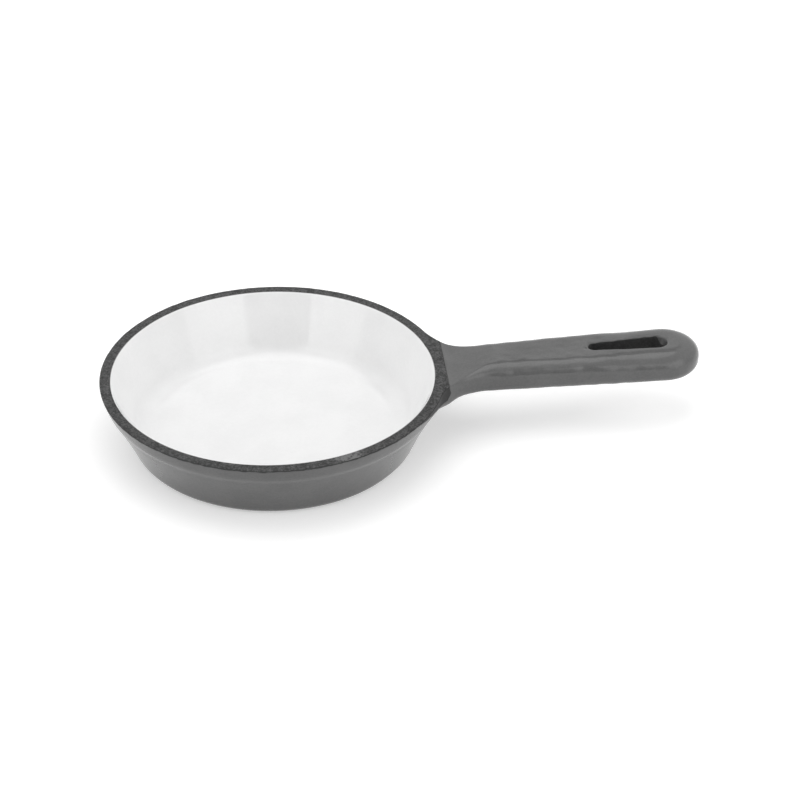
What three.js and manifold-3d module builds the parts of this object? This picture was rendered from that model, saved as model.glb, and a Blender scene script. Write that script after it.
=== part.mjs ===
// A small enamelled cast-iron frying pan: one iron casting and the enamel coats fired onto it.
// Millimetres, +Z up. The origin is the middle of the underside, and the handle points along +X.
import * as THREE from "three";
import { mergeVertices } from "three/addons/utils/BufferGeometryUtils.js";
import Module from "manifold-3d";

const wasm = await Module();
wasm.setup();

// Bowl, measured over the enamel
const HEIGHT = 29.5;
const RIM_CORNER_RADIUS = 70.15;
const RIM_INNER_RADIUS = 65.4;
const RIM_EDGE_ROUND = 0.7;
const RIM_INNER_ROUND = 0.8;
const LIP_DEPTH = 6.45;
const LIP_SLOPE = 0.315;
const WALL_TOP_RADIUS = 66.7;
const WALL_TOP_DEPTH = 8.1;
const WALL_BOW = 0.25;
const BASE_RADIUS = 56.5;
const BASE_ROUND = 5.9;
const FLOOR_DEPTH = 25.3;
const FLOOR_RADIUS = 54.75;
const FLOOR_ROUND = 10;

// Handle, with X measured from the middle of the bowl
const HANDLE_END = 175.9;
const HANDLE_HALF_WIDTH_AT_RIM = 10.9;
const HANDLE_TAPER = 0.04;
const HANDLE_TIP_LENGTH = 15.4;
const HANDLE_RISE = 2.3;
const HANDLE_RISE_FROM = 73.2;
const HANDLE_RISE_TO = 91.1;
const HANDLE_UNDER_DEPTH = 10.55;
const HANDLE_SIDE_SLOPE = 0.02;
const HANDLE_EDGE_ROUND = 6;
const HANDLE_EDGE_FROM = 72.5;
const HANDLE_EDGE_TO = 92.2;
const HANDLE_UNDER_ROUND = 5.8;
const HANDLE_WALL_FILLET = 5;
const NECK_DIP = 1;
const NECK_DIP_FROM = 66.5;
const FLARE_RADIUS = 22.4;
const FLARE_FROM = 60;
const FLARE_TO = 71.6;
const NECK_RIM_ANGLE = THREE.MathUtils.degToRad(38);
const FAN_FROM = 60;
const FAN_TO = 118;
const FAN_PULL = 0.6;

// Hanging slot, a tapered round-ended opening with softened lips
const SLOT_START = 129.8;
const SLOT_END = 161.6;
const SLOT_HALF_WIDTH_START = 2.5;
const SLOT_HALF_WIDTH_END = 3.95;
const SLOT_LIP_ROUND = 1;
const SLOT_LINING_MARGIN = 0.8;

// Coats
const COAT = 0.5;
const CLEARANCE = 0.26;
const COAT_BREAK = 0.15;
const COAT_TRIM = 0.15;
const RIM_COAT_DROP = 1.25;
const RIM_COAT_END = 70;

// Facet counts
const RIM_STEPS = 14;
const NECK_RIM_STEPS = 4;
const FLARE_STEPS = 6;
const SIDE_STEPS = 3;
const TIP_STEPS = 6;
const ROUND_STEPS = 3;
const FILLET_STEPS = 4;
const WALL_FILLET_STEPS = 2;
const RIM_INNER_STEPS = 2;
const SLOT_END_STEPS = 8;

// A round takes no more than this share of the run that it rounds off.
const ROUND_SHARE = 0.45;
const TINY = 1e-5;

// Where the top of the neck bends: behind the rim, at its lowest, halfway up its climb and at the climb's end
const TOP_BENDS = [
  NECK_DIP_FROM,
  HANDLE_RISE_FROM,
  (HANDLE_RISE_FROM + HANDLE_RISE_TO) / 2,
  HANDLE_RISE_TO,
];

const UP = new THREE.Vector3(0, 0, 1);

function point(plan, z) {
  return new THREE.Vector3(plan.x, plan.y, z);
}

function along(from, to, distance) {
  return to.clone().sub(from).setLength(distance).add(from);
}

// Circular arc that replaces the sharp corner between two straight runs that end at a and b.
function roundCorner(a, corner, b, steps) {
  const turn = corner.clone().sub(a).angleTo(b.clone().sub(corner));
  const weight = 2 * Math.cos(turn / 2);
  const points = [];
  for (let i = 0; i <= steps; i++) {
    const t = i / steps;
    const pull = weight * t * (1 - t);
    const sum = (1 - t) ** 2 + pull + t ** 2;
    const p = a.clone().multiplyScalar((1 - t) ** 2);
    p.addScaledVector(corner, pull).addScaledVector(b, t ** 2);
    points.push(p.divideScalar(sum));
  }
  return points;
}

// Length that a round takes off each of the two runs that meet at a corner.
function roundLength(a, corner, b, radius) {
  const turn = corner.clone().sub(a).angleTo(b.clone().sub(corner));
  return radius * Math.tan(turn / 2);
}

// Plan outline

// Half of the plan outline, from the far side of the rim to the handle's tip: the rim circle,
// a flare that touches both the rim and the handle, the handle's straight side, and its tip.
function outlineCurves() {
  const lean = Math.hypot(1, HANDLE_TAPER);
  const sideAtAxis = HANDLE_HALF_WIDTH_AT_RIM - HANDLE_TAPER * RIM_CORNER_RADIUS;
  const flareOffset = sideAtAxis + FLARE_RADIUS * lean;
  const reach = RIM_CORNER_RADIUS + FLARE_RADIUS;
  const flareX =
    (Math.sqrt(lean ** 2 * reach ** 2 - flareOffset ** 2) - flareOffset * HANDLE_TAPER) / lean ** 2;
  const flareY = flareOffset + HANDLE_TAPER * flareX;
  const flareStart = Math.atan2(flareY, flareX);
  const flareEnd = 1.5 * Math.PI + Math.atan(HANDLE_TAPER);

  const tipX = HANDLE_END - HANDLE_TIP_LENGTH;
  const tipSide = sideAtAxis + HANDLE_TAPER * tipX;
  const tipHalf = Math.sqrt(tipSide ** 2 - (HANDLE_TAPER * HANDLE_TIP_LENGTH) ** 2);
  const tipStart = Math.atan2(tipHalf, -HANDLE_TAPER * HANDLE_TIP_LENGTH);

  const rimArc = (from, to) =>
    new THREE.EllipseCurve(0, 0, RIM_CORNER_RADIUS, RIM_CORNER_RADIUS, from, to, true);
  const flare = new THREE.EllipseCurve(
    flareX, flareY, FLARE_RADIUS, FLARE_RADIUS, flareStart + Math.PI, flareEnd, false,
  );
  const tip = new THREE.EllipseCurve(tipX, 0, HANDLE_TIP_LENGTH, tipHalf, tipStart, 0, true);
  const side = new THREE.LineCurve(flare.getPoint(1), tip.getPoint(0));
  return [
    [rimArc(Math.PI, NECK_RIM_ANGLE), RIM_STEPS],
    [rimArc(NECK_RIM_ANGLE, flareStart), NECK_RIM_STEPS],
    [flare, FLARE_STEPS],
    [side, SIDE_STEPS],
    [tip, TIP_STEPS],
  ];
}

function outlineStation(curve, t) {
  const tangent = curve.getTangent(t);
  return { plan: curve.getPoint(t), normal: new THREE.Vector2(-tangent.y, tangent.x) };
}

function outlineStations() {
  const stations = [];
  for (const [curve, steps] of outlineCurves()) {
    for (let i = 0; i < steps; i++) {
      stations.push(outlineStation(curve, i / steps));
    }
  }
  stations[0].plan.y = 0;
  stations.push({ plan: new THREE.Vector2(HANDLE_END, 0), normal: new THREE.Vector2(1, 0) });
  return stations;
}

// Section

// Height of the neck and handle over the rim: the neck dips a little behind the rim, then climbs.
function handleRise(x) {
  const dip = NECK_DIP * THREE.MathUtils.smoothstep(x, NECK_DIP_FROM, HANDLE_RISE_FROM);
  const climb = THREE.MathUtils.smoothstep(x, HANDLE_RISE_FROM, HANDLE_RISE_TO);
  return (HANDLE_RISE + NECK_DIP) * climb - dip;
}

// Inside of the bowl in one radial plane: floor, floor fillet, wall and the rim's inner edge.
function insideSection(radial) {
  const at = (radius, depth) => point(radial.clone().multiplyScalar(radius), HEIGHT - depth);
  const centre = at(0, FLOOR_DEPTH);
  const foot = at(FLOOR_RADIUS, FLOOR_DEPTH);
  const edge = at(RIM_INNER_RADIUS, 0);
  const fillet = roundLength(centre, foot, edge, FLOOR_ROUND);
  const edgeStart = along(edge, foot, RIM_INNER_ROUND);
  const edgeEnd = at(RIM_INNER_RADIUS + RIM_INNER_ROUND, 0);
  return [
    centre,
    ...roundCorner(along(foot, centre, fillet), foot, along(foot, edge, fillet), FILLET_STEPS),
    ...roundCorner(edgeStart, edge, edgeEnd, RIM_INNER_STEPS),
  ];
}

// Top of the rim and handle, from the rim's inner edge out to where the outer edge starts to round.
function topRun(from, to) {
  const run = to.x - from.x;
  return TOP_BENDS.map((x, i) => {
    const share = Math.min((x - from.x) / Math.max(run, TINY), (i + 1) / (TOP_BENDS.length + 1));
    const p = from.clone().lerp(to, share);
    p.z = HEIGHT + handleRise(p.x);
    return p;
  });
}

// Outside in the plane of one station. The same four corners run all the way round: the top edge,
// the foot of the lip or handle side, the top of the wall, and the base. Along the flare the lip's
// sloping side turns into the handle's upright one, and its foot opens into the handle's underside.
function outsideSection({ plan, normal }, radial, rimEdge) {
  const handle = THREE.MathUtils.smoothstep(plan.x, FLARE_FROM, FLARE_TO);
  const mix = (bowl, grip) => THREE.MathUtils.lerp(bowl, grip, handle);
  const inward = normal.clone().negate();
  const rise = handleRise(plan.x);
  const edgeShare = THREE.MathUtils.smoothstep(plan.x, HANDLE_EDGE_FROM, HANDLE_EDGE_TO);
  const edgeRound = THREE.MathUtils.lerp(RIM_EDGE_ROUND, HANDLE_EDGE_ROUND, edgeShare);
  const sideDepth = mix(LIP_DEPTH, HANDLE_UNDER_DEPTH);
  const sideShift = mix(LIP_SLOPE, HANDLE_SIDE_SLOPE) * (sideDepth + rise);
  const wallDepth = mix(WALL_TOP_DEPTH, HANDLE_UNDER_DEPTH);
  const wallShare = (wallDepth - WALL_TOP_DEPTH) / (HEIGHT - WALL_TOP_DEPTH);
  const wallRadius = THREE.MathUtils.lerp(WALL_TOP_RADIUS, BASE_RADIUS, wallShare);

  const top = point(plan, HEIGHT + rise);
  const foot = point(plan.clone().addScaledVector(inward, sideShift), HEIGHT - sideDepth);
  const wall = point(radial.clone().multiplyScalar(wallRadius), HEIGHT - wallDepth);
  const base = point(radial.clone().multiplyScalar(BASE_RADIUS), 0);
  const centre = new THREE.Vector3();

  const gap = foot.distanceTo(wall);
  const underRound = Math.min(HANDLE_UNDER_ROUND, ROUND_SHARE * gap);
  const wallFillet = Math.min(HANDLE_WALL_FILLET, ROUND_SHARE * gap);
  const topStart = top.clone().sub(point(normal, 0).multiplyScalar(edgeRound));
  const sideEnd = along(foot, top, Math.min(underRound, ROUND_SHARE * sideDepth));
  const underEnd = foot.clone().sub(point(normal, 0).multiplyScalar(underRound));
  underEnd.z = THREE.MathUtils.lerp(foot.z, wall.z, underRound / gap);
  const filletStart = along(wall, underEnd, wallFillet);
  const filletEnd = along(wall, base, wallFillet);
  const baseFillet = roundLength(wall, base, centre, BASE_ROUND);
  const baseStart = along(base, wall, baseFillet);
  const wallMiddle = filletEnd.clone().lerp(baseStart, 0.5).addScaledVector(point(radial, 0), -WALL_BOW);

  return [
    ...topRun(rimEdge, topStart),
    ...roundCorner(topStart, top, along(top, foot, edgeRound), ROUND_STEPS),
    ...roundCorner(sideEnd, foot, underEnd, ROUND_STEPS),
    ...roundCorner(filletStart, wall, filletEnd, WALL_FILLET_STEPS),
    wallMiddle,
    ...roundCorner(baseStart, base, along(base, centre, baseFillet), ROUND_STEPS),
    centre,
  ];
}

// Past the flare the sections spread from a narrower stretch of the bowl, so that no two of them cross.
function section(station) {
  const pull = FAN_PULL * THREE.MathUtils.smoothstep(station.plan.x, FAN_FROM, FAN_TO);
  const angle = station.plan.angle() * (1 - pull);
  const radial = new THREE.Vector2(Math.cos(angle), Math.sin(angle));
  const inside = insideSection(radial);
  return [...inside, ...outsideSection(station, radial, inside.at(-1))];
}

// Surface of the whole pan, a closed ring of sections

function panRows() {
  const half = outlineStations().map(section);
  const mirrored = half.slice(1, -1).reverse();
  const flip = (p) => new THREE.Vector3(p.x, -p.y, p.z);
  return [...half, ...mirrored.map((row) => row.map(flip))];
}

// The same surface moved inwards, along its normals, by one distance.
function insetRows(rows, distance) {
  const count = rows.length;
  const last = rows[0].length - 1;
  return rows.map((row, i) => row.map((p, j) => {
    const normal = new THREE.Vector3();
    if (j === 0) {
      normal.copy(UP);
    } else if (j === last) {
      normal.copy(UP).negate();
    } else {
      const round = rows[(i + 1) % count][j].clone().sub(rows[(i + count - 1) % count][j]);
      const down = row[j + 1].clone().sub(row[j - 1]);
      normal.crossVectors(round, down).normalize();
    }
    return p.clone().addScaledVector(normal, -distance);
  }));
}

// Closed surface through the rows. Each row starts and ends on the axis, or else closes on itself. The
// second half of the rows mirrors the first, and so do its triangles.
function rowsGeometry(rows, closed = false) {
  const columns = rows[0].length;
  const spans = closed ? columns : columns - 1;
  const index = [];
  for (let i = 0; i < rows.length; i++) {
    const here = i * columns;
    const next = ((i + 1) % rows.length) * columns;
    const mirrored = i >= rows.length / 2;
    for (let j = 0; j < spans; j++) {
      const k = (j + 1) % columns;
      const startsOnAxis = !closed && j === 0;
      const endsOnAxis = !closed && j === spans - 1;
      if (!startsOnAxis) {
        index.push(here + j, next + j, (mirrored && !endsOnAxis ? here : next) + k);
      }
      if (!endsOnAxis) {
        index.push((mirrored && !startsOnAxis ? next : here) + j, next + k, here + k);
      }
    }
  }
  const geometry = new THREE.BufferGeometry().setFromPoints(rows.flat());
  geometry.setIndex(index);
  return geometry;
}

// Solids

function solid(geometry) {
  const bare = geometry.clone();
  bare.deleteAttribute("normal");
  bare.deleteAttribute("uv");
  const merged = mergeVertices(bare, TINY);
  const mesh = new wasm.Mesh({
    numProp: 3,
    vertProperties: new Float32Array(merged.attributes.position.array),
    triVerts: new Uint32Array(merged.index.array),
  });
  return new wasm.Manifold(mesh);
}

function geometryOf(manifold) {
  const mesh = manifold.getMesh();
  const geometry = new THREE.BufferGeometry();
  geometry.setAttribute("position", new THREE.BufferAttribute(mesh.vertProperties, 3));
  geometry.setIndex(new THREE.BufferAttribute(mesh.triVerts, 1));
  geometry.computeVertexNormals();
  return geometry;
}

function box(low, high) {
  const size = high.clone().sub(low);
  const middle = low.clone().add(high).multiplyScalar(0.5);
  return solid(new THREE.BoxGeometry(size.x, size.y, size.z).translate(middle.x, middle.y, middle.z));
}

// Slot outline: two round ends and the straight sides that touch both.
function slotShape() {
  const startX = SLOT_START + SLOT_HALF_WIDTH_START;
  const endX = SLOT_END - SLOT_HALF_WIDTH_END;
  const lean = Math.asin((SLOT_HALF_WIDTH_END - SLOT_HALF_WIDTH_START) / (endX - startX));
  const quarter = Math.PI / 2;
  const shape = new THREE.Shape();
  shape.absarc(endX, 0, SLOT_HALF_WIDTH_END, -quarter - lean, quarter + lean, false);
  shape.absarc(startX, 0, SLOT_HALF_WIDTH_START, quarter + lean, 3 * quarter - lean, false);
  shape.closePath();
  return shape;
}

// What the slot takes out of the handle, its mouths flaring out over the rounded lips. With an inset
// it takes out the same slot widened by that much, as the iron under the coat needs.
function slotOpening(inset) {
  const overrun = 0.05;
  const depth = HANDLE_RISE + HANDLE_UNDER_DEPTH - 2 * SLOT_LIP_ROUND;
  const lip = SLOT_LIP_ROUND - inset;
  const geometry = new THREE.ExtrudeGeometry(slotShape(), {
    depth,
    bevelThickness: lip + overrun,
    bevelSize: -lip,
    bevelOffset: SLOT_LIP_ROUND,
    bevelSegments: ROUND_STEPS,
    curveSegments: SLOT_END_STEPS,
  });
  return solid(geometry.translate(0, 0, HEIGHT - HANDLE_UNDER_DEPTH + SLOT_LIP_ROUND));
}

const surface = panRows();
const coatBack = insetRows(surface, COAT);
const ironInset = COAT + CLEARANCE;

// A stretch of one row, drawn in a little at each end that isn't on the axis
function coatRun(row, first, last) {
  const run = row.slice(first, last + 1);
  if (first > 0) {
    run[0] = row[first].clone().lerp(row[first + 1], COAT_TRIM);
  }
  if (last < row.length - 1) {
    run[last - first] = row[last].clone().lerp(row[last - 1], COAT_TRIM);
  }
  return run;
}

// One coat, over the columns of the surface from first to last
function coatOver(first, last) {
  const closed = first > 0 && last < surface[0].length - 1;
  const rows = surface.map((row, i) => {
    const face = coatRun(row, first, last);
    const back = coatRun(coatBack[i], first, last).reverse();
    return first === 0 ? [...face, ...back] : [...back, ...face];
  });
  return solid(rowsGeometry(rows, closed));
}

const columns = surface[0].length;
const whiteEnd = 1 + (FILLET_STEPS + 1) + 1;
const soleStart = columns - 1 - ROUND_STEPS;

const iron = solid(rowsGeometry(insetRows(surface, ironInset))).subtract(slotOpening(ironInset));
const outside = coatOver(whiteEnd, soleStart).add(slotOpening(COAT)).subtract(slotOpening(0));

// Where the black ground coat shows, widened by the break that is left between two colours

const far = 2 * HANDLE_END;
const slotHalf = SLOT_HALF_WIDTH_END + SLOT_LINING_MARGIN;

function rimRegion(extra) {
  const low = new THREE.Vector3(-far, -far, HEIGHT - RIM_COAT_DROP - extra);
  const high = new THREE.Vector3(RIM_COAT_END + extra, far, far);
  return box(low, high);
}

function slotRegion(extra) {
  const bottom = HEIGHT - HANDLE_UNDER_DEPTH + SLOT_LINING_MARGIN - extra;
  const top = HEIGHT + HANDLE_RISE - SLOT_LINING_MARGIN + extra;
  const low = new THREE.Vector3(SLOT_START - SLOT_LINING_MARGIN, -slotHalf, bottom);
  const high = new THREE.Vector3(SLOT_END + SLOT_LINING_MARGIN, slotHalf, top);
  return box(low, high);
}

const greyCoat = outside.subtract(rimRegion(COAT_BREAK)).subtract(slotRegion(COAT_BREAK));

// Finishes

const castIron = new THREE.MeshStandardMaterial({ color: 0x3a3a3c, roughness: 0.75, metalness: 0.9 });
const whiteEnamel = new THREE.MeshStandardMaterial({ color: 0xefefee, roughness: 0.15, metalness: 0 });
const greyEnamel = new THREE.MeshStandardMaterial({ color: 0x66676a, roughness: 0.25, metalness: 0 });
const blackEnamel = new THREE.MeshStandardMaterial({ color: 0x2c2c2d, roughness: 0.8, metalness: 0 });

const fryingPan = new THREE.Group();
fryingPan.name = "frying_pan";

function addPiece(name, manifold, material) {
  const piece = new THREE.Mesh(geometryOf(manifold), material);
  piece.name = name;
  fryingPan.add(piece);
}

addPiece("iron_casting", iron, castIron);
addPiece("interior_enamel", coatOver(0, whiteEnd), whiteEnamel);
addPiece("exterior_enamel", greyCoat, greyEnamel);
addPiece("sole_enamel", coatOver(soleStart, columns - 1), greyEnamel);
addPiece("rim_ground_coat", outside.intersect(rimRegion(0)), blackEnamel);
addPiece("slot_ground_coat", outside.intersect(slotRegion(0)), blackEnamel);

export default fryingPan;
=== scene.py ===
import math

import bpy
import numpy as np
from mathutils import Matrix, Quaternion, Vector


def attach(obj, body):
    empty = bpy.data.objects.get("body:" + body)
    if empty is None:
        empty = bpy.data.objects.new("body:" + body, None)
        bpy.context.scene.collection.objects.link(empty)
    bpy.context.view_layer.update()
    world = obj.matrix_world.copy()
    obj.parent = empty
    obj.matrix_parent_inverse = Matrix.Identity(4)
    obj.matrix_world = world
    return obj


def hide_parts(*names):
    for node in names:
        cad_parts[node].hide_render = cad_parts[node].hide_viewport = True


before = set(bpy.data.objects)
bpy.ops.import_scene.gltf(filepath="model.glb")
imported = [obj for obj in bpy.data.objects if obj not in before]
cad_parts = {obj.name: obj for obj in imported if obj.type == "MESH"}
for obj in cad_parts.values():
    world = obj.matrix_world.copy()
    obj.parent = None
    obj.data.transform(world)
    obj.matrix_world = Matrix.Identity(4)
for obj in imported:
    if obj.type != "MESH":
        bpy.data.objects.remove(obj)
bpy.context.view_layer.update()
print("frame loaded:", ", ".join(sorted(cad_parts)))

mm = 0.001  # shapes are worked out in millimetres: x along the handle, z up from the table
weldStep = 1e-4  # points nearer to each other than this become one

# The casting's form, shared by every coat on it
bowlForm = {
    "height": 29.5, "rimCorner": 70.15, "rimInner": 65.4, "rimEdge": 0.7, "innerEdge": 0.8,
    "lipDepth": 5.6, "lipSlope": 0.315, "wallTop": 66.65, "wallTopDepth": 8.2, "wallBow": 0.25,
    "base": 56.5, "baseRound": 5.9, "floorDepth": 25.3, "floorRadius": 54.2, "floorRound": 9.0,
}
handleForm = {
    "end": 175.95, "halfAtRim": 10.9, "taper": 0.041, "tipLength": 15.3,
    "dip": 1.0, "dipFrom": 66.5, "rise": 2.03, "riseFrom": 73.4, "riseTo": 90.4,
    "climb": 0.0078, "climbFrom": 75.0, "climbEase": 20.0, "underDepth": 10.95, "sideSlope": 0.02,
    "edge": 6.0, "edgeDrop": 5.5, "edgeFrom": 72.8, "edgeTo": 92.2,
    "underEdge": 5.8, "wallFillet": 5.0, "wallLeg": 2.0, "lipLeg": 2.2,
    "tipEdge": 8.4, "tipEdgeDrop": 6.5, "tipEdgeFrom": 126.0, "tipEdgeTo": 154.0,
    "flare": 21.8, "flareFrom": 60.0, "flareTo": 71.7,
    "cutX": 118.0, "fanFrom": 52.0, "fanPull": 0.92, "roundShare": 0.45,
}
slotForm = {"start": 129.7, "end": 162.35, "halfStart": 2.6, "halfEnd": 4.35, "lip": 1.2}
rowSteps = {  # faces along a row of the outside, from the coat's border to the middle of the sole
    "roll": 4, "top": 22, "edge": 10, "side": 8, "foot": 8, "under": 10, "fillet": 8,
    "wall": 18, "base": 8, "sole": 10, "slotLip": 10, "slotFace": 20,
}
topZ = bowlForm["height"] + handleForm["rise"]  # top of the handle past its rise
underZ = bowlForm["height"] - handleForm["underDepth"]


def smooth(low, high, x):  # an S-shaped step: 0 below low, 1 above high
    t = np.clip((x - low) / (high - low), 0, 1)
    return t * t * (3 - 2 * t)


def unit(v):
    return v / np.maximum(np.linalg.norm(v, axis=-1, keepdims=True), 1e-9)


def shares(count):
    return np.linspace(0, 1, count + 1)


def raised(plan, z):  # plan points given the height z
    return np.concatenate([plan, np.broadcast_to(z, plan.shape[:-1])[..., None]], -1)


def spread(t, rows):  # one set of shares for all rows, or a set for each
    return np.broadcast_to(t, (rows, np.shape(t)[-1]))[..., None]


def straight(a, b, t):  # a + (b - a) t for every row
    return a[:, None] + (b - a)[:, None] * spread(t, len(a))


def roundCorner(a, corner, b, t):
    # weighted quadratic curve from a to b that pulls at the corner; with the cosine of half the turn as
    # the corner's weight and equal legs it is a circular arc
    t = spread(t, len(a))
    weight = np.sqrt((1 + (unit(corner - a) * unit(b - corner)).sum(-1)) / 2)
    pull = weight[:, None, None] * 2 * t * (1 - t)
    total = (1 - t) ** 2 + pull + t ** 2
    return ((1 - t) ** 2 * a[:, None] + pull * corner[:, None] + t ** 2 * b[:, None]) / total


def joined(*runs):  # columns of several runs, without the point that two runs share
    return np.concatenate([run[:, :-1] for run in runs[:-1]] + [runs[-1]], 1)


def mirrored(rows):  # the other half of the pan, its rows in the order that goes on round it
    return rows[::-1] * np.array([1, -1, 1])


def handleRise(x):  # height of the neck and handle over the rim: a small dip behind the rim, then a climb
    climb = smooth(handleForm["riseFrom"], handleForm["riseTo"], x)
    dip = smooth(handleForm["dipFrom"], handleForm["riseFrom"], x)
    return (handleForm["rise"] + handleForm["dip"]) * climb - handleForm["dip"] * dip


def tilted(points):  # the handle as it leaves the bowl, climbing a little all the way to its tip
    run = np.maximum(points[:, 0] - handleForm["climbFrom"], 0)
    lift = handleForm["climb"] * run * smooth(0, handleForm["climbEase"], run)
    return points + np.outer(lift, [0, 0, 1])


def halfOutline(rimSteps, flareSteps, nearSteps, farSteps, tipSteps):
    # half the plan outline from the far side of the rim to the handle's tip: the rim circle, a flare arc
    # that touches the rim and the handle's side, the straight side in two parts, and an elliptical tip
    taper, flare, rim = handleForm["taper"], handleForm["flare"], bowlForm["rimCorner"]
    lean, tilt = math.hypot(1, taper), math.atan(taper)
    sideAtAxis = handleForm["halfAtRim"] - taper * rim
    offset = sideAtAxis + flare * lean
    flareX = (math.sqrt((lean * (rim + flare)) ** 2 - offset ** 2) - offset * taper) / lean ** 2
    flareY = offset + taper * flareX
    meet = math.atan2(flareY, flareX)
    length = handleForm["tipLength"]
    tipX = handleForm["end"] - length
    tipSide = sideAtAxis + taper * tipX
    tipHalf = math.sqrt(tipSide ** 2 - (taper * length) ** 2)
    tipStart = math.atan2(tipHalf, -taper * length)

    a = np.pi + (meet - np.pi) * shares(rimSteps)[:-1]
    rimPart = np.stack([np.cos(a), np.sin(a)], 1)
    b = meet + np.pi + (np.pi / 2 + tilt - meet) * shares(flareSteps)[:-1]
    flarePart = np.stack([np.cos(b), np.sin(b)], 1)
    sideStart = np.array([flareX + flare * math.sin(tilt), flareY - flare * math.cos(tilt)])
    sideEnd = np.array([tipX + length * math.cos(tipStart), tipHalf * math.sin(tipStart)])
    cutShare = (handleForm["cutX"] - sideStart[0]) / (sideEnd[0] - sideStart[0])
    nearPart, farPart = shares(nearSteps)[:-1], shares(farSteps)[:-1]
    t = np.concatenate([cutShare * nearPart, cutShare + (1 - cutShare) * farPart])
    sidePart = sideStart + (sideEnd - sideStart) * t[:, None]
    c = tipStart * (1 - shares(tipSteps))
    tipPart = np.stack([tipX + length * np.cos(c), tipHalf * np.sin(c)], 1)

    plan = np.concatenate([rim * rimPart, (flareX, flareY) + flare * flarePart, sidePart, tipPart])
    sideNormal = np.tile([-math.sin(tilt), math.cos(tilt)], (len(t), 1))
    tipNormal = unit(np.stack([tipHalf * np.cos(c), length * np.sin(c)], 1))
    normal = np.concatenate([rimPart, -flarePart, sideNormal, tipNormal])
    plan[[0, -1], 1] = 0
    return plan, normal, rimSteps + flareSteps + nearSteps


def wallPoint(radial, depth):
    share = (depth - bowlForm["wallTopDepth"]) / (bowlForm["height"] - bowlForm["wallTopDepth"])
    radius = bowlForm["wallTop"] + (bowlForm["base"] - bowlForm["wallTop"]) * share
    return raised(radial * np.reshape(radius, (-1, 1)), bowlForm["height"] - depth)


def stationKeys(plan, normal):
    # corner points of the outside at each station; along the flare the lip's sloping side turns into the
    # handle's upright one and its foot opens into the handle's underside
    bowl, handle = bowlForm, handleForm
    x, outward = plan[:, 0], raised(normal, 0)
    pull = handle["fanPull"] * smooth(handle["fanFrom"], handle["cutX"], x)
    angle = np.arctan2(plan[:, 1], x) * (1 - pull)  # past the flare the rows fan out from the bowl
    radial = np.stack([np.cos(angle), np.sin(angle)], 1)
    grip = smooth(handle["flareFrom"], handle["flareTo"], x)
    rise = handleRise(x)
    soft = smooth(handle["edgeFrom"], handle["edgeTo"], x)
    wide = smooth(handle["tipEdgeFrom"], handle["tipEdgeTo"], x)
    edge, drop = (
        bowl["rimEdge"] + (handle[leg] - bowl["rimEdge"]) * soft + (handle[last] - handle[leg]) * wide
        for leg, last in (("edge", "tipEdge"), ("edgeDrop", "tipEdgeDrop")))
    sideDepth = bowl["lipDepth"] + (handle["underDepth"] - bowl["lipDepth"]) * grip
    slope = bowl["lipSlope"] + (handle["sideSlope"] - bowl["lipSlope"]) * grip
    wallDepth = bowl["wallTopDepth"] + (handle["underDepth"] - bowl["wallTopDepth"]) * grip
    top = raised(plan, bowl["height"] + rise)
    topEnd = top - outward * edge[:, None]
    topEnd[:, 2] = bowl["height"] + handleRise(topEnd[:, 0])  # the edge starts in line with the top
    foot = raised(plan - normal * (slope * (sideDepth + rise))[:, None], bowl["height"] - sideDepth)
    wall = wallPoint(radial, wallDepth)
    gap = np.linalg.norm(foot - wall, axis=1)
    underRound = np.minimum(handle["underEdge"], handle["roundShare"] * gap)
    down = unit(foot - top)
    share = grip[:, None]
    inward = unit(wall - foot) * (1 - share) - outward * share  # down the ledge, or across the underside
    underStart = foot + inward * underRound[:, None]
    underStart[:, 2] = foot[:, 2] + (wall - foot)[:, 2] * underRound / gap
    sideLeg = np.minimum(np.maximum(underRound, handle["lipLeg"]), handle["roundShare"] * sideDepth)
    return {
        "radial": radial, "top": top, "foot": foot, "underStart": underStart, "wallDepth": wallDepth,
        "rimStart": raised(radial * (bowl["rimInner"] + bowl["innerEdge"]), bowl["height"]),
        "topEnd": topEnd, "edgeEnd": top + down * drop[:, None],
        "sideEnd": foot - down * sideLeg[:, None],
        "fillet": np.minimum(handle["wallFillet"], handle["roundShare"] * gap),
    }


def cutKeys(corner, steps):
    # the line across the handle where the slotted end begins, from one side to the other
    share = (1 - 2 * shares(steps))[:, None]
    angle = np.arctan2(corner["radial"][-1, 1], corner["radial"][-1, 0]) * share[:, 0]
    across = np.concatenate([np.ones_like(share), share, np.ones_like(share)], 1)
    radial = np.stack([np.cos(angle), np.sin(angle)], 1)
    topEnd = corner["topEnd"][-1] * across
    return {
        "radial": radial, "topEnd": topEnd, "top": topEnd, "edgeEnd": topEnd,
        "underStart": corner["underStart"][-1] * across,
        "wallDepth": np.full(len(radial), handleForm["underDepth"]),
        "fillet": np.full(len(radial), handleForm["wallFillet"]),
        "rimStart": raised(radial * (bowlForm["rimInner"] + bowlForm["innerEdge"]), bowlForm["height"]),
    }


def innerKeys(radial):  # corner points of the inside: floor corner, rim's inner edge and their legs
    foot = raised(radial * bowlForm["floorRadius"], bowlForm["height"] - bowlForm["floorDepth"])
    edge = raised(radial * bowlForm["rimInner"], bowlForm["height"])
    out, up = raised(radial, 0), unit(edge - foot)
    leg = bowlForm["floorRound"] * np.tan(np.arccos((out * up).sum(-1, keepdims=True)) / 2)
    return {
        "floorEnd": foot - out * leg, "foot": foot, "wallStart": foot + up * leg,
        "wallEnd": edge - up * bowlForm["innerEdge"], "edge": edge,
        "edgeEnd": edge + out * bowlForm["innerEdge"],
    }


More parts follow.
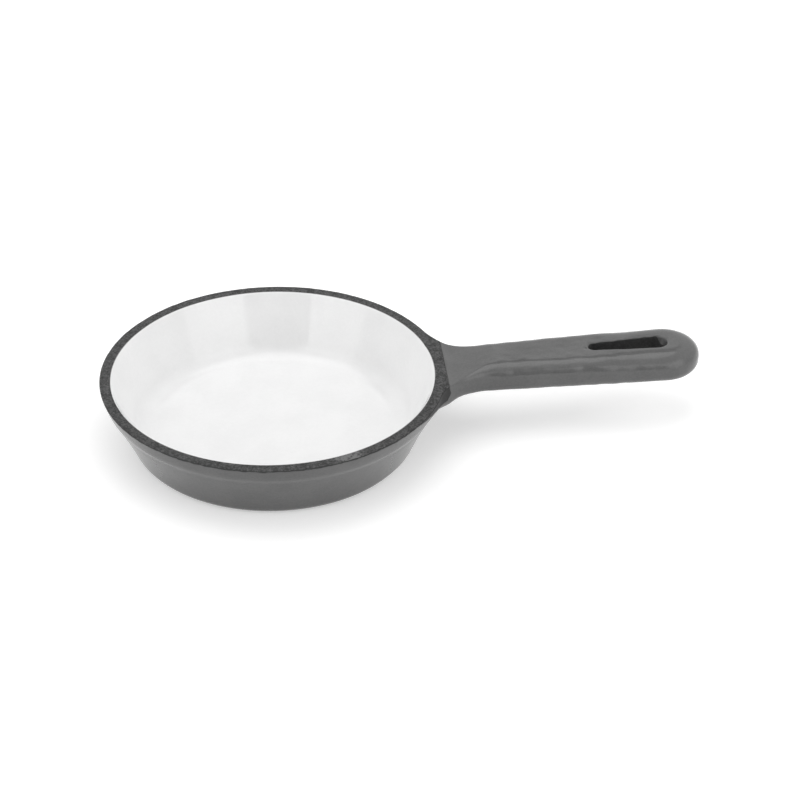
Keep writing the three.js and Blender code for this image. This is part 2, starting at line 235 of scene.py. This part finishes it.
def topPath(keys, u):
    # u from 0 to 1 runs along the flat top from the rim's inner edge, and from 1 to 2 over the rounded edge
    t = np.clip(u, 0, 1)
    flat = straight(keys["rimStart"], keys["topEnd"], t)
    flat[..., 2] = bowlForm["height"] + handleRise(flat[..., 0])
    over = roundCorner(keys["topEnd"], keys["top"], keys["edgeEnd"], np.clip(u - 1, 0, 1))
    return flat + np.where((u > 1)[..., None], over - keys["topEnd"][:, None], 0)


def sideRun(keys):
    return joined(
        straight(keys["edgeEnd"], keys["sideEnd"], shares(rowSteps["side"])),
        roundCorner(keys["sideEnd"], keys["foot"], keys["underStart"], shares(rowSteps["foot"])),
    )


def underRun(keys):
    # from the foot of the lip or handle side: ledge or underside, fillet, bowed wall, base round, sole
    radial = raised(keys["radial"], 0)
    wall = wallPoint(keys["radial"], keys["wallDepth"])
    base = radial * bowlForm["base"]
    down, fillet = unit(base - wall), keys["fillet"][:, None]
    filletStart = wall + unit(keys["underStart"] - wall) * fillet
    filletEnd = wall + down * np.maximum(fillet, handleForm["wallLeg"])  # a soft crease under the rim's lip
    turn = np.arccos(-(down * radial).sum(-1, keepdims=True))
    leg = bowlForm["baseRound"] * np.tan(turn / 2)
    baseStart, baseEnd = base - down * leg, base - radial * leg
    t = shares(rowSteps["wall"])
    bow = radial[:, None] * bowlForm["wallBow"] * np.sin(np.pi * t)[:, None]
    return joined(
        straight(keys["underStart"], filletStart, shares(rowSteps["under"])),
        roundCorner(filletStart, wall, filletEnd, shares(rowSteps["fillet"])),
        straight(filletEnd, baseStart, t) - bow,
        roundCorner(baseStart, base, baseEnd, shares(rowSteps["base"])),
        straight(baseEnd, baseEnd * 0, shares(rowSteps["sole"])),
    )


def coatBorder(keys, side=1):
    # share of the top path where the grey coat starts: at a line across the neck, elsewhere on the outer
    # edge of the rim, with a slow hand-brushed wander; side is -1 for rows that will be mirrored
    start, run = keys["rimStart"], keys["topEnd"] - keys["rimStart"]
    lean = greyCoat["borderLean"] * side
    ahead = run[:, 0] - lean * run[:, 1]
    share = (greyCoat["borderX"] - start[:, 0] + lean * start[:, 1]) / np.maximum(ahead, 0.01)
    border = np.minimum(share, greyCoat["rimBorder"])
    chord = border < 1
    perShare = np.where(chord, np.linalg.norm(run, axis=1), greyCoat["edgeLength"])
    wander = np.where(chord, greyCoat["chordWander"], greyCoat["wander"])
    return border + waves(keys["topEnd"] * (1, side, 1), *greyCoat["borderWaves"]) * wander / perShare


def waves(points, longest, shortest, count, seed):
    # sum of plane sine waves in mixed directions that the seed fixes, longer ones higher
    rng = np.random.default_rng(seed)
    length = np.geomspace(longest, shortest, count)
    heading = unit(rng.normal(size=(count, 3))) / length[:, None]
    phase = rng.uniform(0, 2 * np.pi, count)
    height = np.sqrt(length / longest)
    total = (np.sin(points @ heading.T * 2 * np.pi + phase) * height).sum(-1)
    return total / np.sqrt((height ** 2).sum() / 2)  # a root mean square of 1


def grain(points, size, seed):
    # value noise from -1 to 1: a mixed-up height at every corner of a cubic lattice, blended between them
    place = points / size
    cell = np.floor(place).astype(np.int64)
    t = place - cell
    t = t * t * (3 - 2 * t)
    total = 0
    for corner in np.ndindex(2, 2, 2):
        code = (cell + corner) @ np.array([73856093, 19349663, 83492791]) + seed * 7919
        code = (code ^ (code >> 11)) * 668265263 & 0x7FFFFFFF
        code = (code ^ (code >> 15)) * 374761393 & 0x7FFFFFFF
        total = total + code / 0x3FFFFFFF * np.prod(np.where(corner, t, 1 - t), -1)
    return total - 1


def borderDistance(rows):  # length along each row from its first column
    steps = np.linalg.norm(np.diff(rows, axis=1), axis=2)
    return np.concatenate([np.zeros((len(rows), 1)), np.cumsum(steps, 1)], 1)


def weld(*grids):
    # grids are (points, distance to the coat's border, closed round); quads run round then down, so that
    # faces point outwards, and points that coincide become one
    points, borders, quads, start = [], [], [], 0
    for rows, border, ring in grids:
        count, width = rows.shape[:2]
        index = start + np.arange(count * width).reshape(count, width)
        here, there = (index, np.roll(index, -1, 0)) if ring else (index[:-1], index[1:])
        quads.append(np.stack([here[:, :-1], there[:, :-1], there[:, 1:], here[:, 1:]], -1).reshape(-1, 4))
        points.append(rows.reshape(-1, 3))
        borders.append(np.broadcast_to(border, (count, width)).ravel())
        start += count * width
    points, borders, quads = map(np.concatenate, (points, borders, quads))
    cells = np.round(points / weldStep).astype(np.int64)
    _, first, merged = np.unique(cells, axis=0, return_index=True, return_inverse=True)
    quads = merged.reshape(-1)[quads]
    sides = (quads != np.roll(quads, -1, 1)).sum(1)
    quads = quads[(sides > 2) & (quads[:, 0] != quads[:, 2]) & (quads[:, 1] != quads[:, 3])]
    return points[first], borders[first], quads


def outwardNormals(points, quads):
    a, b, c, d = (points[quads[:, k]] for k in range(4))
    face = np.cross(c - a, d - b)
    total = [np.bincount(quads.ravel(), np.repeat(face[:, k], 4), len(points)) for k in range(3)]
    return unit(np.stack(total, 1))


def lifted(points, border, quads, lift):  # the surface moved along its normals
    return points + outwardNormals(points, quads) * lift[:, None], border, quads


def gritHeight(points, coat):  # a coarse and a fine grain
    coarse, fine = (grain(points, size, seed) for size, seed in coat["grains"])
    return coarse * 0.6 + fine * 0.4


def rolledEdge(border, coat):  # how far a coat's edge rolls down: a quarter ellipse over its width
    t = np.clip(border / coat["rollWidth"], 0, 1)
    return coat["rollDrop"] * (1 - np.sqrt(1 - (1 - t) ** 2))


def coatPiece(name, points, border, quads, coat, finish, slotName, *nodes):
    mesh = bpy.data.meshes.new(name)
    repeats = quads == np.roll(quads, -1, 1)
    faces = [q[~r].tolist() for q, r in zip(quads, repeats)]
    mesh.from_pydata((points * mm).tolist(), [], faces)
    mesh.polygons.foreach_set("use_smooth", np.ones(len(mesh.polygons), bool))
    coverage = mesh.attributes.new("coverage", "FLOAT", "POINT")
    coverage.data.foreach_set("value", np.clip(border / coat["thinEdge"], 0, 1).astype(np.float32))
    mesh.materials.append(finish)
    piece = bpy.data.objects.new(name, mesh)
    bpy.context.scene.collection.objects.link(piece)
    wall = piece.modifiers.new("coatThickness", "SOLIDIFY")
    wall.thickness = coat["thickness"] * mm
    wall.offset = -1
    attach(piece, "root")
    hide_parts(*nodes)
    print(f"{name}: {len(points)} points, {len(faces)} faces")
    return piece


class Value:  # a socket that can be used in arithmetic
    def __init__(self, finish, socket):
        self.finish, self.socket = finish, socket

    def maths(self, operation, first, second):
        return self.finish.node("ShaderNodeMath", {"operation": operation}, {0: first, 1: second})

    def __add__(self, other):
        return self.maths("ADD", self, other)

    def __sub__(self, other):
        return self.maths("SUBTRACT", self, other)

    def __rsub__(self, other):
        return self.maths("SUBTRACT", other, self)

    def __mul__(self, other):
        return self.maths("MULTIPLY", self, other)

    __radd__, __rmul__ = __add__, __mul__


class Finish:  # a material, or the world, under construction
    def __init__(self, owner):
        owner.use_nodes = True
        self.owner, self.tree = owner, owner.node_tree
        self.tree.nodes.clear()

    def node(self, kind, settings=None, inputs=None, output=0):
        made = self.tree.nodes.new(kind)
        for key, value in (settings or {}).items():
            setattr(made, key, value)
        for key, value in (inputs or {}).items():
            if isinstance(value, Value):
                self.tree.links.new(value.socket, made.inputs[key])
            else:
                made.inputs[key].default_value = value
        return Value(self, made.outputs[output]) if made.outputs else None

    def point(self):
        return self.node("ShaderNodeTexCoord", output="Object")

    def place(self):  # the three coordinates in millimetres
        point = self.point()
        return [self.node("ShaderNodeSeparateXYZ", None, {0: point}, axis) * (1 / mm) for axis in range(3)]

    def noise(self, size, detail=2.0, roughness=0.5):  # size of a patch in millimetres
        return self.node("ShaderNodeTexNoise", None, {
            "Vector": self.point(), "Scale": 1 / (size * mm), "Detail": detail, "Roughness": roughness})

    def spots(self, size):  # distance to the nearest of many scattered points, in parts of size
        return self.node("ShaderNodeTexVoronoi", None, {"Vector": self.point(), "Scale": 1 / (size * mm)})

    def covered(self):  # 0 at a coat's thin border, 1 where it is fully thick
        coverage = self.node("ShaderNodeAttribute", {"attribute_name": "coverage"}, output="Fac")
        return self.step(coverage, 0.1, 1)

    def step(self, value, low, high, start=0.0, end=1.0):
        return self.node("ShaderNodeMapRange", {"interpolation_type": "SMOOTHSTEP"}, {
            "Value": value, "From Min": low, "From Max": high, "To Min": start, "To Max": end})

    def blend(self, share, first, second):
        return self.node("ShaderNodeMix", {"data_type": "RGBA"}, {0: share, 6: first, 7: second}, 2)

    def bump(self, height, depth):  # depth in millimetres
        return self.node("ShaderNodeBump", None, {"Height": height, "Distance": depth * mm, "Strength": 1.0})

    def surface(self, **inputs):
        sockets = {name.replace("_", " "): value for name, value in inputs.items()}
        shader = self.node("ShaderNodeBsdfPrincipled", None, sockets)
        self.node("ShaderNodeOutputMaterial", None, {"Surface": shader})
        return self.owner


def grey(level):
    return (level, level, level, 1.0)


def newFinish(name):
    return Finish(bpy.data.materials.new(name))


# Grey enamel: outer wall, neck, handle and sole
greyCoat = {
    "borderX": 70.1, "borderLean": 0.034, "rimBorder": 1.5, "edgeLength": 1.1,
    "wander": 0.09, "chordWander": 0.03, "borderWaves": (9, 2, 8, 5),
    "slotBorder": 0.4, "slotWander": 0.07, "slotWaves": (7, 1.5, 8, 15),
    "rollWidth": 0.35, "rollDrop": 0.16, "rollRoom": 0.4, "thinEdge": 0.5, "thickness": 0.35,
    "steps": (100, 24, 20, 30, 34), "cutSteps": 30,
    "ripple": 0.035, "waves": (40, 14, 9, 3), "handleRipple": 0.05, "handleWaves": (16, 6, 10, 11),
    "edgeRipple": 0.02, "edgeWaves": (6, 3, 6, 17), "soleFlat": (0.2, 3),
    "handleFrom": 70, "handleTo": 95, "calmFrom": 138, "calmTo": 156, "tipCalm": 0.8,
    "runs": ({"at": (161.5, 2.6), "size": 2.4, "fall": 3.5}, {"at": (129.7, 0.2), "size": 1.6, "fall": 0.8}),
    "dimple": {"at": (128.6, -1.6), "size": 0.8, "depth": 0.3},
    "bare": {
        "from": 53.0, "to": 68.0, "rim": 0.45, "neck": 6.7, "brush": 3.2, "uneven": 1.8, "ragged": 0.4,
        "turn": 4.0, "lean": 0.2, "undercut": 0.75, "fade": 0.8, "crisp": 0.1, "level": 0.025,
    },
    "dark": 0.11, "light": 0.133, "thin": 0.05, "roughness": 0.17, "shine": 0.4,
    "cloud": 13, "speck": 0.9, "sheen": 22, "pits": 7, "peel": 2.6, "bump": 0.02,
}


def slotRing(farSteps, tipSteps, cutSteps):
    # the slot's outline and outward normals in step with the outline of the handle's end: straight side,
    # round end, straight side, round start
    startX = slotForm["start"] + slotForm["halfStart"]
    endX = slotForm["end"] - slotForm["halfEnd"]
    tangent = math.pi / 2 + math.asin((slotForm["halfEnd"] - slotForm["halfStart"]) / (endX - startX))
    t = shares(farSteps)[:-1]
    out = tangent * (1 - 2 * shares(2 * tipSteps))
    back = 2 * math.pi - tangent - (2 * math.pi - 2 * tangent) * shares(cutSteps)
    angle = np.concatenate([tangent + 0 * t, out, -tangent + 0 * t[1:], back[:-1]])
    share = np.concatenate([t, 1 + 0 * out, 1 - t[1:], 0 * back[:-1]])
    normal = np.stack([np.cos(angle), np.sin(angle)], 1)
    radius = slotForm["halfStart"] + (slotForm["halfEnd"] - slotForm["halfStart"]) * share
    centre = np.stack([startX + (endX - startX) * share, 0 * share], 1)
    return centre + normal * radius[:, None], normal


def slotPoint(ring, outward, s, z, side):
    # point on the slot's wall and lip, s along its profile: below 0 straight into the slot, from 0 to lip
    # times pi / 2 round the lip's quarter circle to the handle's face at z; side is 1 on top and -1 below
    lip = slotForm["lip"]
    turn = np.clip(s / lip, 0, np.pi / 2)
    flat = ring[:, None] + outward[:, None] * (lip * (1 - np.cos(turn)))[..., None]
    return raised(flat, z - side * (lip * (1 - np.sin(turn)) - np.minimum(s, 0)))


def slotBorder(ring, side):
    # where the grey coat ends along the slot's profile: a slow wander, and on top runs of enamel that hang
    # into the slot
    border = greyCoat["slotBorder"] + greyCoat["slotWander"] * waves(raised(ring, 0), *greyCoat["slotWaves"])
    if side > 0:
        for run in greyCoat["runs"]:
            away = np.linalg.norm(ring - run["at"], axis=1) / run["size"]
            border = border - run["fall"] * np.exp(-away ** 4)
    return border


def makeGreyCoat():
    plan, normal, cut = halfOutline(*greyCoat["steps"])
    near = stationKeys(plan[:cut + 1], normal[:cut + 1])
    far = stationKeys(plan[cut:], normal[cut:])
    line = cutKeys(near, greyCoat["cutSteps"])
    roll = greyCoat["rollWidth"] * shares(rowSteps["roll"])

    def fan(keys, side=1):  # top of the neck, from the coat's border out to the rounded edge
        border = coatBorder(keys, side)[:, None]
        length = np.linalg.norm(keys["topEnd"] - keys["rimStart"], axis=1)[:, None]
        room = np.maximum(1 - border, 0) * length
        first = np.minimum(roll, greyCoat["rollRoom"] * room)
        rest = first[:, -1:] + (room - first[:, -1:]) * shares(rowSteps["top"])[1:]
        return topPath(keys, border + np.concatenate([first, rest], 1) / length), np.maximum(border, 1)

    def outside(side):
        top, edgeStart = fan(near, side)
        band = topPath(near, edgeStart + (2 - edgeStart) * shares(rowSteps["edge"]))
        return joined(top, band, sideRun(near), underRun(near))

    nearRows = np.concatenate([mirrored(outside(-1)), outside(1)[1:]])
    farEdge = topPath(far, np.ones((len(far["top"]), 1)) + shares(rowSteps["edge"]))
    farRows = joined(farEdge, sideRun(far))
    farRows = np.concatenate([farRows, mirrored(farRows)[1:]])
    lineTop, lineUnder = fan(line)[0], underRun(line)

    ring, outward = slotRing(*greyCoat["steps"][3:], greyCoat["cutSteps"])
    topOuter, underOuter = (
        np.concatenate([far[key], mirrored(far[key])[1:], line[key][::-1][1:-1]])
        for key in ("topEnd", "underStart"))

    def lipRun(z, side, outer):  # from the coat's border over the slot's lip and out across the handle's face
        first = slotBorder(ring, side)[:, None] + roll
        last = slotForm["lip"] * np.pi / 2
        rest = first[:, -1:] + (last - first[:, -1:]) * shares(rowSteps["slotLip"])[1:]
        over = slotPoint(ring, outward, np.concatenate([first, rest], 1), z, side)
        return joined(over, straight(over[:, -1], outer, shares(rowSteps["slotFace"])))

    upperRows, lowerRows = lipRun(topZ, 1, topOuter), lipRun(underZ, -1, underOuter)[:, ::-1]

    points, border, quads = weld(
        (nearRows, borderDistance(nearRows), False),
        (lineTop, borderDistance(lineTop), False),
        (lineUnder, 99, False),
        (farRows, 99, False),
        (upperRows, borderDistance(upperRows), True),
        (lowerRows, borderDistance(lowerRows[:, ::-1])[:, ::-1], True),
    )
    points = tilted(points)
    x, z = points[:, 0], points[:, 2]
    calm = greyCoat["tipCalm"] * smooth(greyCoat["calmFrom"], greyCoat["calmTo"], x)
    grip = smooth(greyCoat["handleFrom"], greyCoat["handleTo"], x) * (1 - calm)  # the tip is smoother
    uneven = greyCoat["handleRipple"] * waves(points, *greyCoat["handleWaves"])
    uneven += greyCoat["edgeRipple"] * waves(points, *greyCoat["edgeWaves"])
    uneven = greyCoat["ripple"] * waves(points, *greyCoat["waves"]) + uneven * grip
    sole = smooth(*greyCoat["soleFlat"], z)  # the sole stays flat on the table
    dimple = greyCoat["dimple"]
    away = np.linalg.norm(points[:, :2] - dimple["at"], axis=1) / dimple["size"]
    hollow = np.exp(-away ** 2) * (z > topZ - 1)
    lift = uneven * sole - rolledEdge(border, greyCoat) - dimple["depth"] * hollow
    return lifted(points, border, quads, lift)


def bareShare(finish):
    # share of black ground coat left bare on the side of the lip: a thin uneven fringe all round, which near
    # the neck reaches down to the lip's foot and ends at the line across the neck
    bare = greyCoat["bare"]
    x, y, z = finish.place()
    depth = bowlForm["height"] - z
    brush = finish.noise(bare["brush"], 3, 0.6) - 0.5
    reach = finish.step(x, bare["from"], bare["to"], bare["rim"], bare["neck"]) + brush * bare["uneven"]
    low = depth.maths("MAXIMUM", depth - bare["turn"], 0)
    end = greyCoat["borderX"] + bare["lean"] * depth - bare["undercut"] * low
    before = end - x + greyCoat["borderLean"] * y + brush * bare["ragged"]
    crisp = bare["crisp"]
    return finish.step(reach - depth, -bare["fade"], crisp) * finish.step(before, -crisp, crisp)


def greyFinish():
    finish = newFinish("greyEnamel")
    cloud, speck = finish.noise(greyCoat["cloud"], 3), finish.noise(greyCoat["speck"], 2)
    shade = finish.step(cloud * 0.6 + speck * 0.4, 0.3, 0.7)
    bare = bareShare(finish)
    colour = finish.blend(shade, grey(greyCoat["dark"]), grey(greyCoat["light"]))
    colour = finish.blend(finish.covered(), grey(greyCoat["thin"]), colour)
    colour = finish.blend(bare, colour, grey(greyCoat["bare"]["level"]))
    pits = finish.step(finish.spots(greyCoat["pits"]), 0.02, 0.05)
    peel, sheen = finish.noise(greyCoat["peel"], 2), finish.noise(greyCoat["sheen"], 4) - 0.5
    roughness = greyCoat["roughness"] + 0.1 * sheen + 0.06 * (1 - pits) + 0.5 * bare
    return finish.surface(
        Base_Color=colour, Roughness=roughness, Specular_IOR_Level=greyCoat["shine"],
        Normal=finish.bump(peel * 0.5 + pits * 0.5, greyCoat["bump"]))


coatPiece(
    "greyEnamelCoat", *makeGreyCoat(), greyCoat, greyFinish(),
    "grey_enamel", "exterior_enamel", "sole_enamel")

# Black ground coat left showing on the rim
rimCoat = {
    "steps": (380, 60, 14, 2, 2), "cutSteps": 24, "edgeSteps": 6, "topSteps": 24,
    "inset": 0.1, "under": 0.25, "innerFrom": 0.25, "thinEdge": 0.5, "thickness": 0.3,
    "grit": 0.03, "grains": ((1.1, 3), (0.55, 8)), "waves": (30, 9, 6, 4),
    "dark": 0.008, "light": 0.094, "drift": 0.025, "roughness": 0.62, "bump": 0.1,
    # a paler blotchy patch on the front of the rim
    "scuff": {"at": (23.5, -63.5, 29.5), "near": 2, "far": 9, "grain": 1.3, "gain": 0.26, "level": 0.17},
}


def makeRimCoat():
    plan, normal, cut = halfOutline(*rimCoat["steps"])
    near = stationKeys(plan[:cut + 1], normal[:cut + 1])
    line = cutKeys(near, rimCoat["cutSteps"])

    def top(keys, side=1):
        border = coatBorder(keys, side)
        run = np.linalg.norm(keys["topEnd"] - keys["rimStart"], axis=1)
        border = border + rimCoat["under"] / np.where(border < 1, run, greyCoat["edgeLength"])
        inside = innerKeys(keys["radial"])
        edge = rimCoat["innerFrom"] + (1 - rimCoat["innerFrom"]) * shares(rimCoat["edgeSteps"])
        return joined(
            roundCorner(inside["wallEnd"], inside["edge"], inside["edgeEnd"], edge),
            topPath(keys, border[:, None] * shares(rimCoat["topSteps"])),
        )

    rows = np.concatenate([mirrored(top(near, -1)), top(near)[1:], top(line)[1:-1]])
    points, border, quads = weld((rows, 9, True))
    grit = gritHeight(points, rimCoat) + waves(points, *rimCoat["waves"]) * 0.5
    return lifted(points, border, quads, grit * rimCoat["grit"] - rimCoat["inset"])


def groundFinish(name, coat):
    finish = newFinish(name)
    speck, grit = finish.noise(0.8, 3, 0.65), finish.noise(2.2, 3, 0.6)
    drift = finish.step(finish.place()[1], -70, 70) - 0.5  # from the front of the rim to its paler back
    shade = finish.step(speck * 0.65 + grit * 0.35 + drift * coat["drift"], 0.36, 0.68)
    colour = finish.blend(shade, grey(coat["dark"]), grey(coat["light"]))
    roughness = coat["roughness"] + 0.25 * (grit - 0.5)
    # a paler blotchy patch on the front of the rim, blended into the colour
    if "scuff" in coat:
        scuff = coat["scuff"]
        away = finish.node("ShaderNodeVectorMath", {"operation": "DISTANCE"}, {
            0: finish.point(), 1: Vector(scuff["at"]) * mm}, "Value")
        patch = finish.step(away, scuff["near"] * mm, scuff["far"] * mm, 1, 0)
        paleShare = finish.step(finish.noise(scuff["grain"], 3, 0.7) + patch * scuff["gain"], 0.62, 0.76)
        colour = finish.blend(paleShare * 0.8, colour, grey(scuff["level"]))
    return finish.surface(
        Base_Color=colour, Roughness=roughness, Normal=finish.bump(speck * 0.5 + grit * 0.5, coat["bump"]))


coatPiece(
    "rimGroundCoat", *makeRimCoat(), rimCoat, groundFinish("blackGroundCoat", rimCoat),
    "black_enamel", "rim_ground_coat")

# White enamel inside the bowl
whiteCoat = {
    "rounds": 320, "floorSteps": 16, "filletSteps": 14, "wallSteps": 16, "edgeSteps": 10, "edgeShare": 0.6,
    "rollWidth": 0.35, "rollDrop": 0.16, "thinEdge": 0.45, "thickness": 0.35,
    "ripple": 0.03, "waves": (45, 16, 9, 21),
    "dark": 0.84, "light": 0.88, "thin": 0.45, "roughness": 0.05,
    "cloud": 16, "speck": 1.2, "sheen": 20, "peel": 4, "bump": 0.003,
}


def makeWhiteCoat():
    angle = -2 * np.pi * shares(whiteCoat["rounds"])[:-1]
    keys = innerKeys(np.stack([np.cos(angle), np.sin(angle)], 1))
    middle = keys["floorEnd"] * np.array([0, 0, 1])
    t = 1 - (1 - shares(whiteCoat["edgeSteps"])) ** 1.5  # closer together towards the border
    rows = joined(
        straight(middle, keys["floorEnd"], shares(whiteCoat["floorSteps"])),
        roundCorner(keys["floorEnd"], keys["foot"], keys["wallStart"], shares(whiteCoat["filletSteps"])),
        straight(keys["wallStart"], keys["wallEnd"], shares(whiteCoat["wallSteps"])),
        roundCorner(keys["wallEnd"], keys["edge"], keys["edgeEnd"], whiteCoat["edgeShare"] * t),
    )
    points, border, quads = weld((rows, borderDistance(rows[:, ::-1])[:, ::-1], True))
    ripple = waves(points, *whiteCoat["waves"]) * whiteCoat["ripple"]
    return lifted(points, border, quads, ripple - rolledEdge(border, whiteCoat))


def whiteFinish():
    finish = newFinish("whiteEnamel")
    cloud, speck = finish.noise(whiteCoat["cloud"], 3), finish.noise(whiteCoat["speck"], 2)
    shade = finish.step(cloud * 0.7 + speck * 0.3, 0.3, 0.7)
    colour = finish.blend(shade, grey(whiteCoat["dark"]), grey(whiteCoat["light"]))
    colour = finish.blend(finish.covered(), grey(whiteCoat["thin"]), colour)
    roughness = whiteCoat["roughness"] + 0.04 * (finish.noise(whiteCoat["sheen"], 3) - 0.5)
    peel = finish.noise(whiteCoat["peel"], 2)
    return finish.surface(Base_Color=colour, Roughness=roughness, Normal=finish.bump(peel, whiteCoat["bump"]))


coatPiece(
    "whiteEnamelCoat", *makeWhiteCoat(), whiteCoat, whiteFinish(),
    "white_enamel", "interior_enamel")

# Black ground coat inside the hanging slot
liningCoat = {
    "steps": (60, 40, 40), "wallSteps": 40, "inset": 0.1, "under": 0.35, "thinEdge": 0.5, "thickness": 0.25,
    "grit": 0.04, "grains": ((1.2, 5), (0.6, 6)),
    "dark": 0.016, "light": 0.034, "drift": 0.0, "roughness": 0.62, "bump": 0.1,
}


def makeSlotLining():
    # one profile from the lower lip up the wall and over the upper lip, measured from the middle of the wall
    ring, outward = slotRing(*liningCoat["steps"])
    half = (topZ - underZ) / 2 - slotForm["lip"]
    foot, head = (half + slotBorder(ring, side) + liningCoat["under"] for side in (-1, 1))
    along = (-foot)[:, None] + (foot + head)[:, None] * shares(liningCoat["wallSteps"])
    upper = slotPoint(ring, outward, along - half, topZ, 1)
    lower = slotPoint(ring, outward, -along - half, underZ, -1)
    points, border, quads = weld((np.where((along < 0)[..., None], lower, upper), 9, True))
    points = tilted(points)
    lift = gritHeight(points, liningCoat) * liningCoat["grit"] - liningCoat["inset"]
    return lifted(points, border, quads, lift)


coatPiece(
    "slotGroundCoat", *makeSlotLining(), liningCoat, groundFinish("blackSlotCoat", liningCoat),
    "black_enamel", "slot_ground_coat")

# The iron itself is covered all over and keeps its own solid
ironCast = {
    "dark": (0.04, 0.04, 0.04, 1), "light": (0.11, 0.105, 0.1, 1), "roughness": 0.62, "metal": 0.85,
    "sand": 0.8, "cloud": 9, "bump": 0.12,
}


def ironFinish():
    finish = newFinish("castIron")
    sand, cloud = finish.noise(ironCast["sand"], 3, 0.6), finish.noise(ironCast["cloud"], 3)
    shade = finish.step(sand * 0.5 + cloud * 0.5, 0.3, 0.7)
    return finish.surface(
        Base_Color=finish.blend(shade, ironCast["dark"], ironCast["light"]), Metallic=ironCast["metal"],
        Roughness=ironCast["roughness"] + 0.2 * (cloud - 0.5), Normal=finish.bump(sand, ironCast["bump"]))


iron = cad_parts["iron_casting"]
iron.data.materials.clear()
iron.data.materials.append(ironFinish())
print("iron casting finished")

# Camera at the photograph's place, heading a little to the right of the pan's own y axis
cameraView = {"at": (-81.76, -985.96, 652.9), "heading": 7.72, "down": 32.768, "lens": 129.97, "sensor": 36.0}
camera = bpy.data.objects.new("photoCamera", bpy.data.cameras.new("photoCamera"))
camera.location = Vector(cameraView["at"]) * mm
camera.rotation_euler = (math.radians(90 - cameraView["down"]), 0, -math.radians(cameraView["heading"]))
camera.data.lens, camera.data.sensor_width = cameraView["lens"], cameraView["sensor"]
bpy.context.scene.collection.objects.link(camera)
bpy.context.scene.camera = camera

# Studio: a white tent round the pan with softboxes above and to both sides of the camera, a dark opening
# where the camera stands and a dark gap behind, between wall and roof. Places are as seen from the camera,
# x to the right, y away, z up, in metres. Openings are given by their distance from the pan, their bearing,
# 0 towards the camera, and their height, both in degrees.
studio = {
    "floor": 0.8, "floorLift": 0.4, "floorReach": 6.0, "tent": 0.8,
    "softboxes": {
        "overhead": {"at": (-0.1, 0.25, 1.2), "size": (1.1, 1.1), "turn": 45, "level": 1.3},
        "left": {"at": (-1.5, -1.5, 1.0), "size": (1.9, 1.9), "turn": 0, "level": 0.8},
        "right": {"at": (1.5, -1.5, 1.0), "size": (1.9, 1.9), "turn": 0, "level": 1.0},
    },
    "openings": {
        "front": {"distance": 2.4, "from": -26, "to": 19.5, "low": 0, "high": 57},
        "gap": {"distance": 2.4, "from": 156, "to": 220, "low": 39, "high": 60},
    },
    "shade": 0.06, "panels": 8,
}


def fromCamera(x, y, z):  # the camera's heading turned into the pan's frame
    turn = math.radians(cameraView["heading"])
    return Vector((x * math.cos(turn) + y * math.sin(turn), y * math.cos(turn) - x * math.sin(turn), z))


def stagePiece(name, corners, faces, finish):
    mesh = bpy.data.meshes.new(name)
    mesh.from_pydata(corners, [], faces)
    mesh.materials.append(finish)
    piece = bpy.data.objects.new(name, mesh)
    bpy.context.scene.collection.objects.link(piece)
    return piece


for name, box in studio["softboxes"].items():
    light = bpy.data.lights.new(name, "AREA")
    light.shape, light.size, light.size_y = "RECTANGLE", *box["size"]
    light.energy = box["level"] * math.pi * light.size * light.size_y  # watts for that radiance
    lamp = bpy.data.objects.new(name, light)
    lamp.location = fromCamera(*box["at"])
    aim = (-lamp.location).to_track_quat("-Z", "Y")
    lamp.rotation_euler = (aim @ Quaternion((0, 0, 1), math.radians(box["turn"]))).to_euler()
    lamp.visible_camera = False
    bpy.context.scene.collection.objects.link(lamp)

paper = newFinish("floorPaper")
seen = paper.node("ShaderNodeLightPath", output="Is Camera Ray")
seen = seen + paper.node("ShaderNodeLightPath", output="Is Glossy Ray")
seen = seen + paper.node("ShaderNodeLightPath", output="Is Transmission Ray")
matt = paper.node("ShaderNodeBsdfDiffuse", None, {"Color": grey(studio["floor"])})
glow = paper.node("ShaderNodeEmission", None, {"Color": grey(1), "Strength": seen * studio["floorLift"]})
both = paper.node("ShaderNodeAddShader", None, {0: matt, 1: glow})
paper.node("ShaderNodeOutputMaterial", None, {"Surface": both})
reach = studio["floorReach"]
floorCorners = [(-reach, -reach, 0), (reach, -reach, 0), (reach, reach, 0), (-reach, reach, 0)]
stagePiece("floor", floorCorners, [(0, 1, 2, 3)], paper.owner)

cloth = newFinish("darkCloth")
dark = cloth.node("ShaderNodeBsdfDiffuse", None, {"Color": grey(studio["shade"])})
cloth.node("ShaderNodeOutputMaterial", None, {"Surface": dark})
panels = studio["panels"]
for name, gap in studio["openings"].items():
    bearing = np.radians(np.linspace(gap["from"], gap["to"], panels + 1))
    low, high = (gap["distance"] * math.tan(math.radians(gap[edge])) for edge in ("low", "high"))
    feet = [(gap["distance"] * math.sin(turn), -gap["distance"] * math.cos(turn)) for turn in bearing]
    corners = [fromCamera(*foot, z) for z in (low, high) for foot in feet]
    faces = [(k, k + 1, k + panels + 2, k + panels + 1) for k in range(panels)]
    stagePiece(name + "Opening", corners, faces, cloth.owner).visible_camera = False

world = bpy.data.worlds.new("whiteTent")
bpy.context.scene.world = world
tent = Finish(world)
air = tent.node("ShaderNodeBackground", None, {"Color": grey(1), "Strength": studio["tent"]})
tent.node("ShaderNodeOutputWorld", None, {"Surface": air})
bpy.context.scene.view_settings.view_transform = "Standard"
print("camera, floor and light placed")
